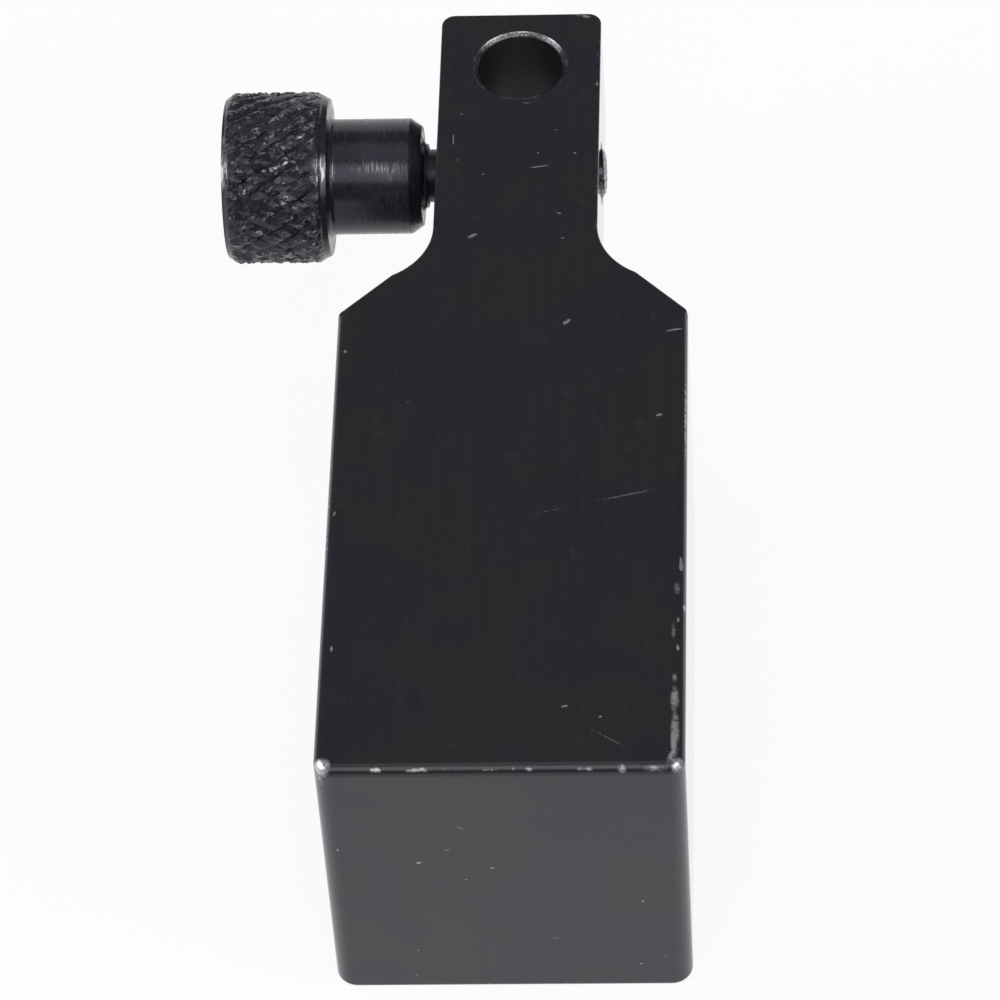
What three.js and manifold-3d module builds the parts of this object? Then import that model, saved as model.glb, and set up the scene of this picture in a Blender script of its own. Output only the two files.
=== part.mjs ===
// Dial indicator holder: a square steel block that stands on a flat surface and carries a dial
// indicator by its stem, in a bore through a thinner neck. A knurled thumbscrew crosses the neck
// beside the bore and pushes a scalloped plug against the stem.
// Millimetres. +X to the right, +Y towards the neck, +Z up. The origin is on the face that the
// holder stands on, in the middle of the block.

import * as THREE from 'three';
import { mergeVertices } from 'three/addons/utils/BufferGeometryUtils.js';
import Module from 'manifold-3d';

const wasm = await Module();
wasm.setup();

// Block
const blockWidth = 38.1;
const blockHeight = 38.1;
const blockLength = 62.35; // straight sides, from the near end to the shoulders
const barCornerRadius = 1.1; // the bar's long corners, along Y
const cornerRadius = 2; // upright corners at the near end
const edgeBreak = 0.45; // small chamfer round the top and bottom faces

// Neck
const neckWidth = 18.1;
const neckDepth = 15.9; // thickness of the neck under the top face
const neckStraight = 32.4; // from the root fillets to the neck's end
const neckCornerRadius = 1.5; // upright corners at the neck's end
const rootRadius = 7.94; // fillets between the neck and the shoulders, seen from above
const rootReach = 4.31; // how far a root fillet spreads from the neck's side
const stepRadius = 4; // fillet between the neck's underside and the block
const neckEdgeBreak = 0.3; // chamfer along the neck's two lower edges

// Bore for the indicator's stem
const stemDiameter = 9.525;
const stemClearance = 0.04; // radial
const boreSetback = 8; // bore axis to the neck's end
const boreChamfer = 0.45;

// Cross bore and tapped hole
const screwToStem = 1.6; // wall of the stem's bore to the screw's thread
const crossBoreDepth = 12.65; // from the neck's left side
const crossChamfer = 0.4;
const threadDiameter = 6.1;
const threadGap = 0.3; // radial room round the screw's thread
const tappedChamfer = 0.25;

// Clamp plug
const plugDiameter = 12;
const plugGap = 0.25; // radial room in the cross bore
const plugInset = 0.75; // plug's left end, behind the neck's left side
const plugRun = 1.2; // free length behind the plug
const plugChamfer = 0.35;
const plugScrewGap = 0.35; // radial room round the stud
const scallopGap = 0.15; // scallop radius over the bore's radius

// Thumbscrew knob
const knobGap = 2; // from the hub's end face to the neck's left side, as stored
const hubDiameter = 13;
const hubLength = 10.4;
const hubEndChamferLength = 1.3;
const hubEndChamferDrop = 0.9;
const hubRootRadius = 0.45;
const noseRadius = 0.65; // fillet from the hub's end face down to the nose
const noseWall = 0.3; // round the stud's seat
const headDiameter = 19.45;
const headLength = 11.65;
const headLeftChamferLength = 1;
const headLeftChamferDrop = 0.8;
const headRightChamferLength = 1.4;
const headRightChamferDrop = 0.9;
const knurlDepth = 0.45;
const knurlRunOut = 0.3; // where the knurl ends at a chamfer
const knurlTeeth = 28;
const knurlAngle = THREE.MathUtils.degToRad(33); // of the knurl's grooves to the axis

// Stud pressed into the knob
const threadRelief = 0.075; // how much the plain part's radius is under the thread's
const studFloor = 2.05; // from the head to the stud's seated end
const studSeatGap = 0.28;
const studPlainLength = 6; // from the nose to the thread
const studTipProud = 0.62; // past the neck's right side
const studTipDome = 0.3;
const studTipChamfer = 0.5;

const cutOverrun = 1; // how far a cutting solid runs past what it cuts

// Places worked out from the sizes
const nearY = -blockLength / 2;
const shoulderY = blockLength / 2;
const topZ = blockHeight;
const undersideZ = topZ - neckDepth;
const neckHalf = neckWidth / 2;
// Root fillets start on the neck's sides and end where they meet the shoulders, which are at
// 45 degrees. Centres of the right one and the point where it meets its shoulder:
const meetX = neckHalf + rootReach;
const meetY = shoulderY + blockWidth / 2 - meetX;
const filletX = neckHalf + rootRadius;
const filletY = meetY + Math.sqrt(rootRadius ** 2 - (rootRadius - rootReach) ** 2);
const meetAngle = Math.atan2(meetY - filletY, meetX - filletX);
const endY = filletY + neckStraight;
const boreY = endY - boreSetback;
const boreRadius = stemDiameter / 2 + stemClearance;
const screwY = boreY - boreRadius - screwToStem - threadDiameter / 2;
const screwZ = topZ - neckDepth / 2;
const crossBoreEndX = -neckHalf + crossBoreDepth;
const hubEndX = -neckHalf - knobGap;
const noseEndX = hubEndX + noseRadius;
const headRightX = hubEndX - hubLength;
const headLeftX = headRightX - headLength;
const studLeftX = headRightX + studFloor;
const studRadius = threadDiameter / 2 - threadRelief;
const studHoleRadius = studRadius + studSeatGap;
const tappedRadius = threadDiameter / 2 + threadGap;

// Turns a closed geometry into a solid that can be cut and joined.
function solidFrom(geometry) {
  const bare = geometry.index ? geometry.toNonIndexed() : geometry.clone();
  bare.deleteAttribute('normal');
  bare.deleteAttribute('uv');
  const merged = mergeVertices(bare, 1e-5);
  const kept = [];
  const index = merged.index.array;
  for (let i = 0; i < index.length; i += 3) {
    const [a, b, c] = [index[i], index[i + 1], index[i + 2]];
    if (a !== b && b !== c && c !== a) {
      kept.push(a, b, c);
    }
  }
  return new wasm.Manifold(new wasm.Mesh({
    numProp: 3,
    vertProperties: new Float32Array(merged.attributes.position.array),
    triVerts: new Uint32Array(kept),
  }));
}

// Gives a solid its name and finish as a mesh.
function pieceFrom(name, solid, finish) {
  const mesh = solid.getMesh();
  const geometry = new THREE.BufferGeometry();
  geometry.setAttribute('position', new THREE.BufferAttribute(mesh.vertProperties, 3));
  geometry.setIndex(new THREE.BufferAttribute(mesh.triVerts, 1));
  geometry.computeVertexNormals();
  const piece = new THREE.Mesh(geometry, new THREE.MeshStandardMaterial(finish));
  piece.name = name;
  return piece;
}

// A turned solid round an upright axis at (x, y). Points are [radius, height].
function turnedUpright(points, sides, x, y) {
  const profile = points.map(([radius, height]) => new THREE.Vector2(radius, height));
  const geometry = new THREE.LatheGeometry(profile, sides);
  geometry.rotateX(Math.PI / 2);
  geometry.translate(x, y, 0);
  return solidFrom(geometry);
}

// A turned solid round the screw's axis. Points are [x, radius], with x rising.
function turnedOnScrew(points, sides) {
  const profile = points.map(([x, radius]) => new THREE.Vector2(radius, x));
  const geometry = new THREE.LatheGeometry(profile, sides);
  geometry.rotateZ(-Math.PI / 2);
  geometry.translate(0, screwY, screwZ);
  return solidFrom(geometry);
}

// Points of a quarter round from one angle to another, for a turned profile.
function arcPoints(centreX, centreRadius, radius, from, to, steps) {
  const points = [];
  for (let i = 0; i <= steps; i += 1) {
    const angle = from + (to - from) * i / steps;
    points.push([centreX + radius * Math.cos(angle), centreRadius + radius * Math.sin(angle)]);
  }
  return points;
}

// Outline of block, shoulders and neck, seen from above.
function blockOutline() {
  const half = blockWidth / 2;
  const r = cornerRadius;
  const neckR = neckCornerRadius;
  const outline = new THREE.Shape();
  outline.moveTo(-half + r, nearY);
  outline.lineTo(half - r, nearY);
  outline.absarc(half - r, nearY + r, r, -Math.PI / 2, 0, false);
  outline.lineTo(half, shoulderY);
  outline.lineTo(meetX, meetY);
  outline.absarc(filletX, filletY, rootRadius, meetAngle, -Math.PI, true);
  outline.lineTo(neckHalf, endY - neckR);
  outline.absarc(neckHalf - neckR, endY - neckR, neckR, 0, Math.PI / 2, false);
  outline.lineTo(-neckHalf + neckR, endY);
  outline.absarc(-neckHalf + neckR, endY - neckR, neckR, Math.PI / 2, Math.PI, false);
  outline.lineTo(-neckHalf, filletY);
  outline.absarc(-filletX, filletY, rootRadius, 0, -Math.PI - meetAngle, true);
  outline.lineTo(-half, shoulderY);
  outline.lineTo(-half, nearY + r);
  outline.absarc(-half + r, nearY + r, r, Math.PI, 1.5 * Math.PI, false);
  return outline;
}

// A shape drawn in the Y-Z plane and extruded along X, centred on the middle plane.
function extrudedAcross(shape, width) {
  const geometry = new THREE.ExtrudeGeometry(shape, { depth: width, bevelEnabled: false, curveSegments: 5 });
  geometry.translate(0, 0, -width / 2);
  geometry.applyMatrix4(new THREE.Matrix4().makeBasis(
    new THREE.Vector3(0, 1, 0),
    new THREE.Vector3(0, 0, 1),
    new THREE.Vector3(1, 0, 0),
  ));
  return solidFrom(geometry);
}

// What is milled away under the neck, with a fillet where the neck leaves the block.
function underNeckCut() {
  const cut = new THREE.Shape();
  cut.moveTo(meetY, -cutOverrun);
  cut.lineTo(endY + cutOverrun, -cutOverrun);
  cut.lineTo(endY + cutOverrun, undersideZ);
  cut.lineTo(meetY + stepRadius, undersideZ);
  cut.absarc(meetY + stepRadius, undersideZ - stepRadius, stepRadius, Math.PI / 2, Math.PI, false);
  cut.lineTo(meetY, -cutOverrun);
  return extrudedAcross(cut, blockWidth + 2 * cutOverrun);
}

// A shape drawn in the X-Z plane and extruded along Y, from one place to another.
function extrudedAlong(shape, fromY, toY) {
  const geometry = new THREE.ExtrudeGeometry(shape, { depth: toY - fromY, bevelEnabled: false });
  geometry.applyMatrix4(new THREE.Matrix4().makeBasis(
    new THREE.Vector3(1, 0, 0),
    new THREE.Vector3(0, 0, 1),
    new THREE.Vector3(0, -1, 0),
  ));
  geometry.translate(0, toY, 0);
  return solidFrom(geometry);
}

// What the bar's rounded corner takes off one long edge of the block. The sides are 1 or -1.
function longEdgeCut(sideX, sideZ) {
  const half = blockWidth / 2;
  const r = barCornerRadius;
  const centreX = sideX * (half - r);
  const centreZ = topZ / 2 + sideZ * (topZ / 2 - r);
  const outerX = sideX * (half + cutOverrun);
  const outerZ = topZ / 2 + sideZ * (topZ / 2 + cutOverrun);
  const cut = new THREE.Shape();
  cut.moveTo(centreX, outerZ);
  cut.lineTo(outerX, outerZ);
  cut.lineTo(outerX, centreZ);
  const steps = 7;
  for (let i = 0; i <= steps; i += 1) {
    const angle = Math.PI / 2 * i / steps;
    cut.lineTo(centreX + sideX * r * Math.cos(angle), centreZ + sideZ * r * Math.sin(angle));
  }
  cut.lineTo(centreX, outerZ);
  return extrudedAlong(cut, nearY - cutOverrun, meetY + cutOverrun);
}

// Chamfer along one lower edge of the neck.
function neckEdgeCut(side) {
  const reach = neckEdgeBreak + cutOverrun;
  const edge = new THREE.Shape();
  edge.moveTo(side * (neckHalf - neckEdgeBreak - cutOverrun), undersideZ - cutOverrun);
  edge.lineTo(side * (neckHalf + cutOverrun), undersideZ - cutOverrun);
  edge.lineTo(side * (neckHalf + cutOverrun), undersideZ + reach);
  edge.lineTo(side * (neckHalf - neckEdgeBreak - cutOverrun), undersideZ - cutOverrun);
  return extrudedAlong(edge, filletY, endY + cutOverrun);
}

function stemBoreCut() {
  const mouth = boreRadius + boreChamfer + cutOverrun;
  return turnedUpright([
    [0, undersideZ - cutOverrun],
    [mouth, undersideZ - cutOverrun],
    [boreRadius, undersideZ + boreChamfer],
    [boreRadius, topZ - boreChamfer],
    [mouth, topZ + cutOverrun],
    [0, topZ + cutOverrun],
  ], 64, 0, boreY);
}

function crossBoreCut() {
  const radius = plugDiameter / 2 + plugGap;
  return turnedOnScrew([
    [-neckHalf - cutOverrun, 0],
    [-neckHalf - cutOverrun, radius + crossChamfer + cutOverrun],
    [-neckHalf + crossChamfer, radius],
    [crossBoreEndX, radius],
    [crossBoreEndX, tappedRadius],
    [neckHalf - tappedChamfer, tappedRadius],
    [neckHalf + cutOverrun, tappedRadius + tappedChamfer + cutOverrun],
    [neckHalf + cutOverrun, 0],
  ], 48);
}

function holderBody() {
  const geometry = new THREE.ExtrudeGeometry(blockOutline(), {
    depth: blockHeight - 2 * edgeBreak,
    curveSegments: 6,
    bevelEnabled: true,
    bevelThickness: edgeBreak,
    bevelSize: edgeBreak,
    bevelOffset: -edgeBreak,
    bevelSegments: 1,
  });
  geometry.translate(0, 0, edgeBreak);
  const solid = solidFrom(geometry)
    .subtract(longEdgeCut(1, 1))
    .subtract(longEdgeCut(1, -1))
    .subtract(longEdgeCut(-1, 1))
    .subtract(longEdgeCut(-1, -1))
    .subtract(underNeckCut())
    .subtract(neckEdgeCut(1))
    .subtract(neckEdgeCut(-1))
    .subtract(stemBoreCut())
    .subtract(crossBoreCut());
  return pieceFrom('holder_body', solid, { color: 0x2a2b31, roughness: 0.45, metalness: 0.6 });
}

// Plug in the cross bore. Its scallop stands round the stem's bore, and its middle is drilled for
// the stud.
function clampPlug() {
  const radius = plugDiameter / 2;
  const left = -neckHalf + plugInset;
  const right = crossBoreEndX - plugRun;
  const hole = studRadius + plugScrewGap;
  const plug = turnedOnScrew([
    [left, hole],
    [left, radius - plugChamfer],
    [left + plugChamfer, radius],
    [right - plugChamfer, radius],
    [right, radius - plugChamfer],
    [right, hole],
    [left, hole],
  ], 48);
  const scallop = turnedUpright([
    [0, undersideZ - cutOverrun],
    [boreRadius + scallopGap, undersideZ - cutOverrun],
    [boreRadius + scallopGap, topZ + cutOverrun],
    [0, topZ + cutOverrun],
  ], 64, 0, boreY);
  const finish = { color: 0x8d8a84, roughness: 0.35, metalness: 0.9 };
  return pieceFrom('clamp_plug', plug.subtract(scallop), finish);
}

// Head of the knob as rings of points round the axis. Rings in the knurl take turns between the
// crest and the root, so that each crest is a small pyramid.
function knobHead() {
  const columns = 2 * knurlTeeth;
  const crest = headDiameter / 2;
  const knurlLeft = headLeftX + headLeftChamferLength;
  const knurlRight = headRightX - headRightChamferLength;
  const wantedRow = Math.PI * headDiameter / knurlTeeth / 2 / Math.tan(knurlAngle);
  const rows = Math.round((knurlRight - knurlLeft) / wantedRow);
  const rings = [
    { x: headLeftX, even: crest - headLeftChamferDrop, odd: crest - headLeftChamferDrop },
    { x: knurlLeft - knurlRunOut, even: crest - knurlRunOut, odd: crest - knurlRunOut },
  ];
  for (let row = 0; row <= rows; row += 1) {
    const x = knurlLeft + (knurlRight - knurlLeft) * row / rows;
    const low = crest - knurlDepth;
    rings.push(row % 2 === 0 ? { x, even: crest, odd: low } : { x, even: low, odd: crest });
  }
  rings.push({ x: knurlRight + knurlRunOut, even: crest - knurlRunOut, odd: crest - knurlRunOut });
  rings.push({ x: headRightX, even: crest - headRightChamferDrop, odd: crest - headRightChamferDrop });

  const positions = [];
  rings.forEach((ring) => {
    for (let column = 0; column < columns; column += 1) {
      const angle = 2 * Math.PI * column / columns;
      const radius = column % 2 === 0 ? ring.even : ring.odd;
      positions.push(ring.x, radius * Math.cos(angle), radius * Math.sin(angle));
    }
  });
  const leftPole = positions.length / 3;
  positions.push(headLeftX, 0, 0);
  const rightPole = leftPole + 1;
  positions.push(headRightX, 0, 0);

  const faces = [];
  const last = (rings.length - 1) * columns;
  for (let column = 0; column < columns; column += 1) {
    const next = (column + 1) % columns;
    faces.push(leftPole, next, column);
    faces.push(rightPole, last + column, last + next);
    for (let ring = 0; ring < rings.length - 1; ring += 1) {
      const a = ring * columns + column;
      const b = ring * columns + next;
      const c = a + columns;
      const d = b + columns;
      if ((ring + column) % 2 === 0) {
        faces.push(a, b, c, b, d, c);
      } else {
        faces.push(a, b, d, a, d, c);
      }
    }
  }
  const geometry = new THREE.BufferGeometry();
  geometry.setAttribute('position', new THREE.Float32BufferAttribute(positions, 3));
  geometry.setIndex(faces);
  geometry.translate(0, screwY, screwZ);
  return solidFrom(geometry);
}

// Hub and nose of the knob, drilled from the right for the stud.
function knobHub() {
  const hub = hubDiameter / 2;
  const nose = studHoleRadius + noseWall;
  const insideHead = headRightX - headRightChamferLength;
  return turnedOnScrew([
    [insideHead, 0],
    [insideHead, hub],
    [headRightX, hub + hubRootRadius],
    ...arcPoints(headRightX + hubRootRadius, hub + hubRootRadius, hubRootRadius,
      -Math.PI, -Math.PI / 2, 4),
    [hubEndX - hubEndChamferLength, hub],
    [hubEndX, hub - hubEndChamferDrop],
    ...arcPoints(noseEndX, nose + noseRadius, noseRadius, -Math.PI, -Math.PI / 2, 5),
    [noseEndX, studHoleRadius],
    [studLeftX - studSeatGap, studHoleRadius],
    [studLeftX - studSeatGap, 0],
  ], 64);
}

function thumbscrewKnob() {
  const finish = { color: 0x26262c, roughness: 0.4, metalness: 0.7 };
  return pieceFrom('thumbscrew_knob', knobHead().add(knobHub()), finish);
}

// Stud: a plain part in the knob and across the gap, the thread's outer size, and a domed tip.
function thumbscrewStud() {
  const thread = threadDiameter / 2;
  const threadLeft = noseEndX + studPlainLength;
  const tip = neckHalf + studTipProud;
  const rim = thread - studTipChamfer;
  const dome = [];
  for (let i = 0; i <= 4; i += 1) {
    const share = i / 4;
    dome.push([tip - studTipDome * (1 - share) ** 2, rim * Math.sqrt(1 - share)]);
  }
  const stud = turnedOnScrew([
    [studLeftX, 0],
    [studLeftX, studRadius],
    [threadLeft, studRadius],
    [threadLeft + threadRelief, thread],
    [tip - studTipDome - studTipChamfer, thread],
    ...dome,
  ], 40);
  return pieceFrom('thumbscrew_stud', stud, { color: 0x4a4a4e, roughness: 0.4, metalness: 0.85 });
}

const holder = new THREE.Group();
const screw = new THREE.Group();
screw.add(thumbscrewKnob(), thumbscrewStud());
holder.add(holderBody(), clampPlug(), screw);

export default holder;
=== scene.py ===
"""Dial indicator holder: square bar with a milled neck, and a knurled thumbscrew that clamps the stem.

Laid out as an add-on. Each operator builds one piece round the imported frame, in metres, with the
origin on the face that the holder stands on. The block, knob, stud and plug stand for CAD nodes.
"""
import math

import bmesh
import bpy
from mathutils import Matrix, Vector


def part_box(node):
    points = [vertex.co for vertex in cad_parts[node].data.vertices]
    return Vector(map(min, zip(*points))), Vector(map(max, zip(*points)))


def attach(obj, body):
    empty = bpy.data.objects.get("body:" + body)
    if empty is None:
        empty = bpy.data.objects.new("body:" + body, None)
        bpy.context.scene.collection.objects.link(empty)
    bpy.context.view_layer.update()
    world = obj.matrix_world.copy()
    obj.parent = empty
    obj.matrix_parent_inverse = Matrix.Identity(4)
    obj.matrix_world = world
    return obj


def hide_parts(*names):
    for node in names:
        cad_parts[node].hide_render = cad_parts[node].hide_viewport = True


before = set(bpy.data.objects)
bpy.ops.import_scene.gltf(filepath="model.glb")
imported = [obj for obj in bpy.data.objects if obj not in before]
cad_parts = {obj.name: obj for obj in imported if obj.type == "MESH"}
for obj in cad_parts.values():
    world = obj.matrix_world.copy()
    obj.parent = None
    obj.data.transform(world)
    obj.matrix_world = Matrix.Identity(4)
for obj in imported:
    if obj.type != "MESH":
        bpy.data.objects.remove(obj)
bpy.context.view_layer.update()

bl_info = {
    "name": "Dial indicator holder",
    "version": (1, 0, 0),
    "blender": (4, 5, 0),
    "location": "View3D > Sidebar > Indicator holder",
    "description": "Builds a dial indicator holder with a knurled thumbscrew, its finishes and a stage",
    "category": "Object",
}

MM = 0.001
CLOSE = 0.00001  # two places nearer than this are the same

# Places that the pieces share with the frame, in metres
BODY_LOW, BODY_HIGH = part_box("holder_body")
KNOB_LOW, KNOB_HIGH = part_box("thumbscrew_knob")
STUD_LOW, STUD_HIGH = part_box("thumbscrew_stud")
PLUG_LOW, PLUG_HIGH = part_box("clamp_plug")
SCREW_Y = (KNOB_LOW.y + KNOB_HIGH.y) / 2
SCREW_Z = (KNOB_LOW.z + KNOB_HIGH.z) / 2
HALF = BODY_HIGH.x
TOP = BODY_HIGH.z
NEAR = BODY_LOW.y
END = BODY_HIGH.y
NECK_HALF = 9.05 * MM
BORE_Y = END - 8 * MM
BORE_RADIUS = 4.8025 * MM
CREST = (KNOB_HIGH.z - KNOB_LOW.z) / 2  # radius of the knurl's crests
CORNER_STEPS = 8  # facets in each rounded upright corner


def linear(code):
    """Turn an sRGB hex colour into linear red, green and blue."""
    parts = [int(code[i:i + 2], 16) / 255 for i in (1, 3, 5)]
    return tuple(p / 12.92 if p <= 0.04045 else ((p + 0.055) / 1.055) ** 2.4 for p in parts)


class HolderBlockSettings(bpy.types.PropertyGroup):
    """Sizes and colours of the block."""

    straight: bpy.props.FloatProperty(
        name="Straight length", description="Straight sides, from the near end to the shoulders",
        default=62.35 * MM, unit="LENGTH")
    upright_corner: bpy.props.FloatProperty(
        name="Upright corners", description="Radius of the upright corners at the near end",
        default=2 * MM, unit="LENGTH")
    neck_corner: bpy.props.FloatProperty(
        name="Neck corners", description="Radius of the upright corners at the neck's end",
        default=1.5 * MM, unit="LENGTH")
    bar_corner: bpy.props.FloatProperty(
        name="Bar corners", description="Radius of the drawn bar's long corners and of the worn near edge",
        default=1.1 * MM, unit="LENGTH")
    fine_break: bpy.props.FloatProperty(
        name="Edge break", description="How far the edges of neck, shoulders and base are broken",
        default=0.25 * MM, unit="LENGTH")
    root_radius: bpy.props.FloatProperty(
        name="Root fillet", description="Fillets between the neck and the shoulders",
        default=7.94 * MM, unit="LENGTH")
    neck_depth: bpy.props.FloatProperty(
        name="Neck depth", description="Thickness of the neck under the top face",
        default=15.9 * MM, unit="LENGTH")
    bore_chamfer: bpy.props.FloatProperty(
        name="Bore chamfer", description="Chamfer at both mouths of the stem bore",
        default=0.45 * MM, unit="LENGTH")
    oxide: bpy.props.FloatVectorProperty(
        name="Black oxide", description="Colour of the blackened faces",
        default=linear("#1f1f22"), size=3, subtype="COLOR", min=0, max=1)
    steel: bpy.props.FloatVectorProperty(
        name="Bare steel", description="Colour of steel where the oxide is worn off",
        default=linear("#c6c6ca"), size=3, subtype="COLOR", min=0, max=1)


class HolderScrewSettings(bpy.types.PropertyGroup):
    """Sizes and colours of the thumbscrew and of the plug that it pushes."""

    hub_diameter: bpy.props.FloatProperty(
        name="Hub diameter", description="Diameter of the plain hub beside the head",
        default=13 * MM, unit="LENGTH")
    hub_length: bpy.props.FloatProperty(
        name="Hub length", description="From the head to the hub's end",
        default=10.4 * MM, unit="LENGTH")
    knurl_depth: bpy.props.FloatProperty(
        name="Knurl depth", description="From the knurl's crests to its valleys",
        default=0.45 * MM, unit="LENGTH")
    knurl_flat: bpy.props.FloatProperty(
        name="Worn crests", description="How far each crest of the knurl is worn down along its edges",
        default=0.34 * MM, unit="LENGTH")
    knurl_stray: bpy.props.FloatProperty(
        name="Knurl unevenness", description="How far the knurl's points stray from their places",
        default=0.14 * MM, unit="LENGTH")
    knurl_teeth: bpy.props.IntProperty(
        name="Knurl teeth", description="Crests round the head", default=28, min=10, max=60)
    pitch: bpy.props.FloatProperty(
        name="Thread pitch", description="From one turn of the stud's thread to the next",
        default=1.27 * MM, unit="LENGTH")
    oxide: bpy.props.FloatVectorProperty(
        name="Blue-black oxide", description="Colour of the knob",
        default=linear("#1b1c22"), size=3, subtype="COLOR", min=0, max=1)
    steel: bpy.props.FloatVectorProperty(
        name="Bare steel", description="Colour of worn crests, of the stud and of the plug",
        default=linear("#b6b6bd"), size=3, subtype="COLOR", min=0, max=1)


class HolderStageSettings(bpy.types.PropertyGroup):
    """Floor, lamps and camera."""

    floor: bpy.props.FloatVectorProperty(
        name="Floor", description="Colour of the floor",
        default=linear("#f0f0f0"), size=3, subtype="COLOR", min=0, max=1)
    lens: bpy.props.FloatProperty(
        name="Lens", description="Focal length in millimetres",
        default=209.6, min=20, max=500, unit="CAMERA")
    key: bpy.props.FloatProperty(
        name="Front lamp", description="Power of the soft lamp over the camera",
        default=3, min=0, unit="POWER")
    side: bpy.props.FloatProperty(
        name="Side lamps", description="Power of each soft lamp at the sides",
        default=6, min=0, unit="POWER")
    above: bpy.props.FloatProperty(
        name="Upper lamp", description="Power of the lamp overhead",
        default=1.1, min=0, unit="POWER")
    behind: bpy.props.FloatProperty(
        name="Back lamp", description="Power of the low lamp behind",
        default=0.9, min=0, unit="POWER")


def object_mode():
    """Leave edit mode and deselect everything."""
    if bpy.context.object and bpy.context.object.mode != "OBJECT":
        bpy.ops.object.mode_set(mode="OBJECT")
    bpy.ops.object.select_all(action="DESELECT")


def activate(piece):
    """Make one piece the only selected one."""
    object_mode()
    piece.select_set(True)
    bpy.context.view_layer.objects.active = piece


def edit(piece, kind="VERT"):
    """Open a piece in edit mode with nothing selected."""
    activate(piece)
    bpy.ops.object.mode_set(mode="EDIT")
    bpy.ops.mesh.select_mode(type=kind)
    bpy.ops.mesh.select_all(action="DESELECT")


def pick(kind, test):
    """In edit mode, select the vertices, edges or faces that pass a test, by place or normal."""
    bpy.ops.mesh.select_mode(type=kind)
    bpy.ops.mesh.select_all(action="DESELECT")
    mesh = bpy.context.object.data
    shape = bmesh.from_edit_mesh(mesh)
    found = {"VERT": shape.verts, "EDGE": shape.edges, "FACE": shape.faces}[kind]
    count = 0
    for item in found:
        if test(item):
            item.select_set(True)
            count += 1
    shape.select_flush_mode()
    bmesh.update_edit_mesh(mesh)
    return count


def start_point(name, place):
    """Open a new mesh in edit mode as one selected point, from which an outline is drawn."""
    object_mode()
    bpy.ops.mesh.primitive_plane_add(size=MM, location=place)
    piece = bpy.context.object
    piece.name = name
    bpy.ops.object.transform_apply(location=True, rotation=True, scale=True)
    bpy.ops.object.mode_set(mode="EDIT")
    bpy.ops.mesh.select_mode(type="VERT")
    bpy.ops.mesh.select_all(action="SELECT")
    bpy.ops.mesh.merge(type="CENTER")
    return piece


def draw_through(points):
    """Extrude the selected point through a list of places."""
    here = Vector(points[0])
    for point in points[1:]:
        there = Vector(point)
        bpy.ops.mesh.extrude_region_move(TRANSFORM_OT_translate={"value": there - here})
        here = there


def arc(centre_along, centre_radius, radius, first, last, steps):
    """Places [along, radius] on an arc, with its angles in degrees."""
    places = []
    for i in range(steps + 1):
        angle = math.radians(first + (last - first) * i / steps)
        places.append((centre_along + radius * math.cos(angle), centre_radius + radius * math.sin(angle)))
    return places


def from_screw(vert):
    """Distance of a point from the screw's axis."""
    return math.hypot(vert.co.y - SCREW_Y, vert.co.z - SCREW_Z)


def merge_points(distance=0.000001):
    """Merge points that lie on each other, such as a seam's or a pole's, and select everything."""
    bpy.ops.mesh.select_all(action="SELECT")
    bpy.ops.mesh.remove_doubles(threshold=distance)
    bpy.ops.mesh.select_all(action="SELECT")


def turned(name, points, sides, centre, axis):
    """Turn an outline once round an axis and point its faces outwards."""
    piece = start_point(name, points[0])
    draw_through(points)
    bpy.ops.mesh.select_all(action="SELECT")
    bpy.ops.mesh.spin(steps=sides, angle=math.tau, center=centre, axis=axis)
    merge_points()
    bpy.ops.mesh.normals_make_consistent(inside=False)
    return piece


def turned_on_screw(name, profile, sides):
    """Turn a profile of [x, radius] round the screw's axis."""
    points = [(x, SCREW_Y, SCREW_Z + radius) for x, radius in profile]
    return turned(name, points, sides, (0, SCREW_Y, SCREW_Z), (1, 0, 0))


def turned_upright(name, profile, sides):
    """Turn a profile of [height, radius] round the stem bore's axis."""
    points = [(radius, BORE_Y, height) for height, radius in profile]
    return turned(name, points, sides, (0, BORE_Y, 0), (0, 0, 1))


def cut(piece, tool):
    """Cut a piece with a tool shape and throw the tool away."""
    activate(piece)
    step = piece.modifiers.new("cut", "BOOLEAN")
    step.operation = "DIFFERENCE"
    step.solver = "EXACT"
    step.object = tool
    bpy.ops.object.modifier_apply(modifier=step.name)
    bpy.data.objects.remove(tool, do_unlink=True)


def round_edges(piece, groups, segments):
    """Round groups of edges, each group to its own width."""
    edit(piece, "EDGE")
    largest = max(width for width, test in groups)
    for width, test in groups:
        if pick("EDGE", test) == 0:
            raise RuntimeError("No edge found to round on " + piece.name)
        bpy.ops.transform.edge_bevelweight(value=width / largest)
    activate(piece)
    step = piece.modifiers.new("rounded edges", "BEVEL")
    step.limit_method = "WEIGHT"
    step.width = largest
    step.segments = segments
    step.use_clamp_overlap = False
    bpy.ops.object.modifier_apply(modifier=step.name)
    edit(piece, "EDGE")
    bpy.ops.mesh.select_all(action="SELECT")
    bpy.ops.transform.edge_bevelweight(value=-1)
    object_mode()


def smooth(piece, degrees):
    """Shade a piece smooth up to an angle, with flat faces kept flat beside rounded edges."""
    activate(piece)
    bpy.ops.object.shade_smooth_by_angle(angle=math.radians(degrees))
    step = piece.modifiers.new("flat faces", "WEIGHTED_NORMAL")
    step.keep_sharp = True
    bpy.ops.object.modifier_apply(modifier=step.name)


def finish_piece(piece, node, body, finish):
    """Hide the CAD node that a piece stands for, hang it on what it rides on and give it its finish."""
    object_mode()
    piece.data.name = piece.name
    piece.data.materials.clear()
    piece.data.materials.append(finish)
    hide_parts(node)
    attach(piece, body)


# Settings of a Map Range node that eases in and out
SMOOTH = {"interpolation_type": "SMOOTHSTEP"}
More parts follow.
